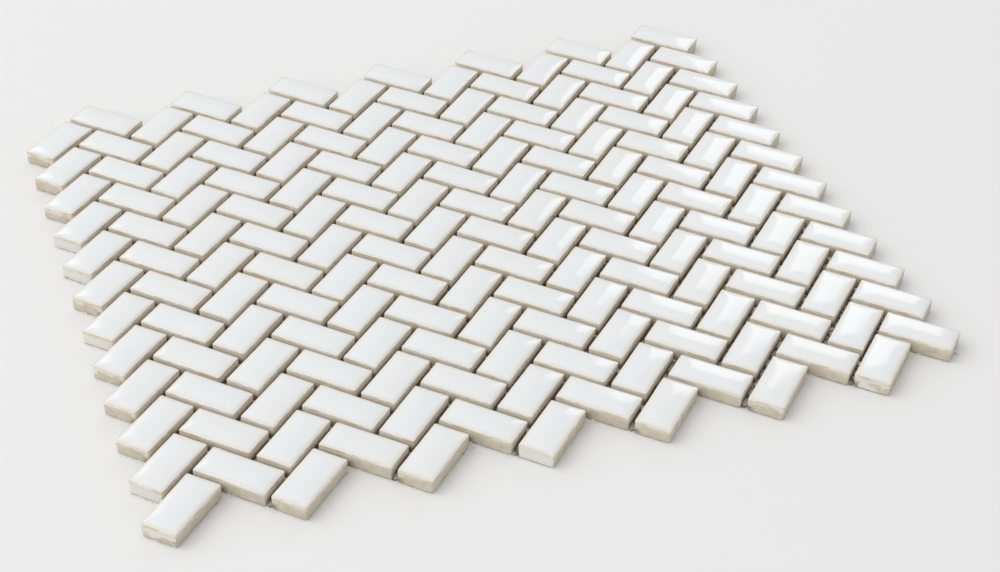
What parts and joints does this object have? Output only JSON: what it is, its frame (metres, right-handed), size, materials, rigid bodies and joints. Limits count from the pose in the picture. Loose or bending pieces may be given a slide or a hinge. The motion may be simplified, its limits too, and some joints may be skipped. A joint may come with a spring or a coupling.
{
  "type": "herringbone mosaic tile sheet",
  "caption": "Flat mosaic tile sheet: oblong white glazed ceramic chips in a herringbone pattern with sawtooth edges, held on an open glass-fibre mesh for bonding to a wall or floor.",
  "frame": {"origin": "middle of the sheet's back, on the surface that the mesh lies on", "axes": "+X along the pattern's zigzag, across the chip columns; +Y along the columns; +Z out of the glazed face"},
  "size_m": [0.3446, 0.3086, 0.0071],
  "materials": {
    "glazed_chip": "glossy white glaze over the face and rolled edge, bare beige stoneware on the walls and back",
    "mesh_yarn": "white glass-fibre yarn, resin coated, matt"
  },
  "bodies": {
    "root": {"chip_column_01": "glazed_chip", "chip_column_02": "glazed_chip", "chip_column_03": "glazed_chip", "chip_column_04": "glazed_chip", "chip_column_05": "glazed_chip", "chip_column_06": "glazed_chip", "chip_column_07": "glazed_chip", "chip_column_08": "glazed_chip", "chip_column_09": "glazed_chip", "chip_column_10": "glazed_chip", "chip_column_11": "glazed_chip", "chip_column_12": "glazed_chip", "chip_column_13": "glazed_chip", "chip_column_14": "glazed_chip", "mesh_yarns_lower": "mesh_yarn", "mesh_yarns_upper": "mesh_yarn"}
  },
  "joints": []
}
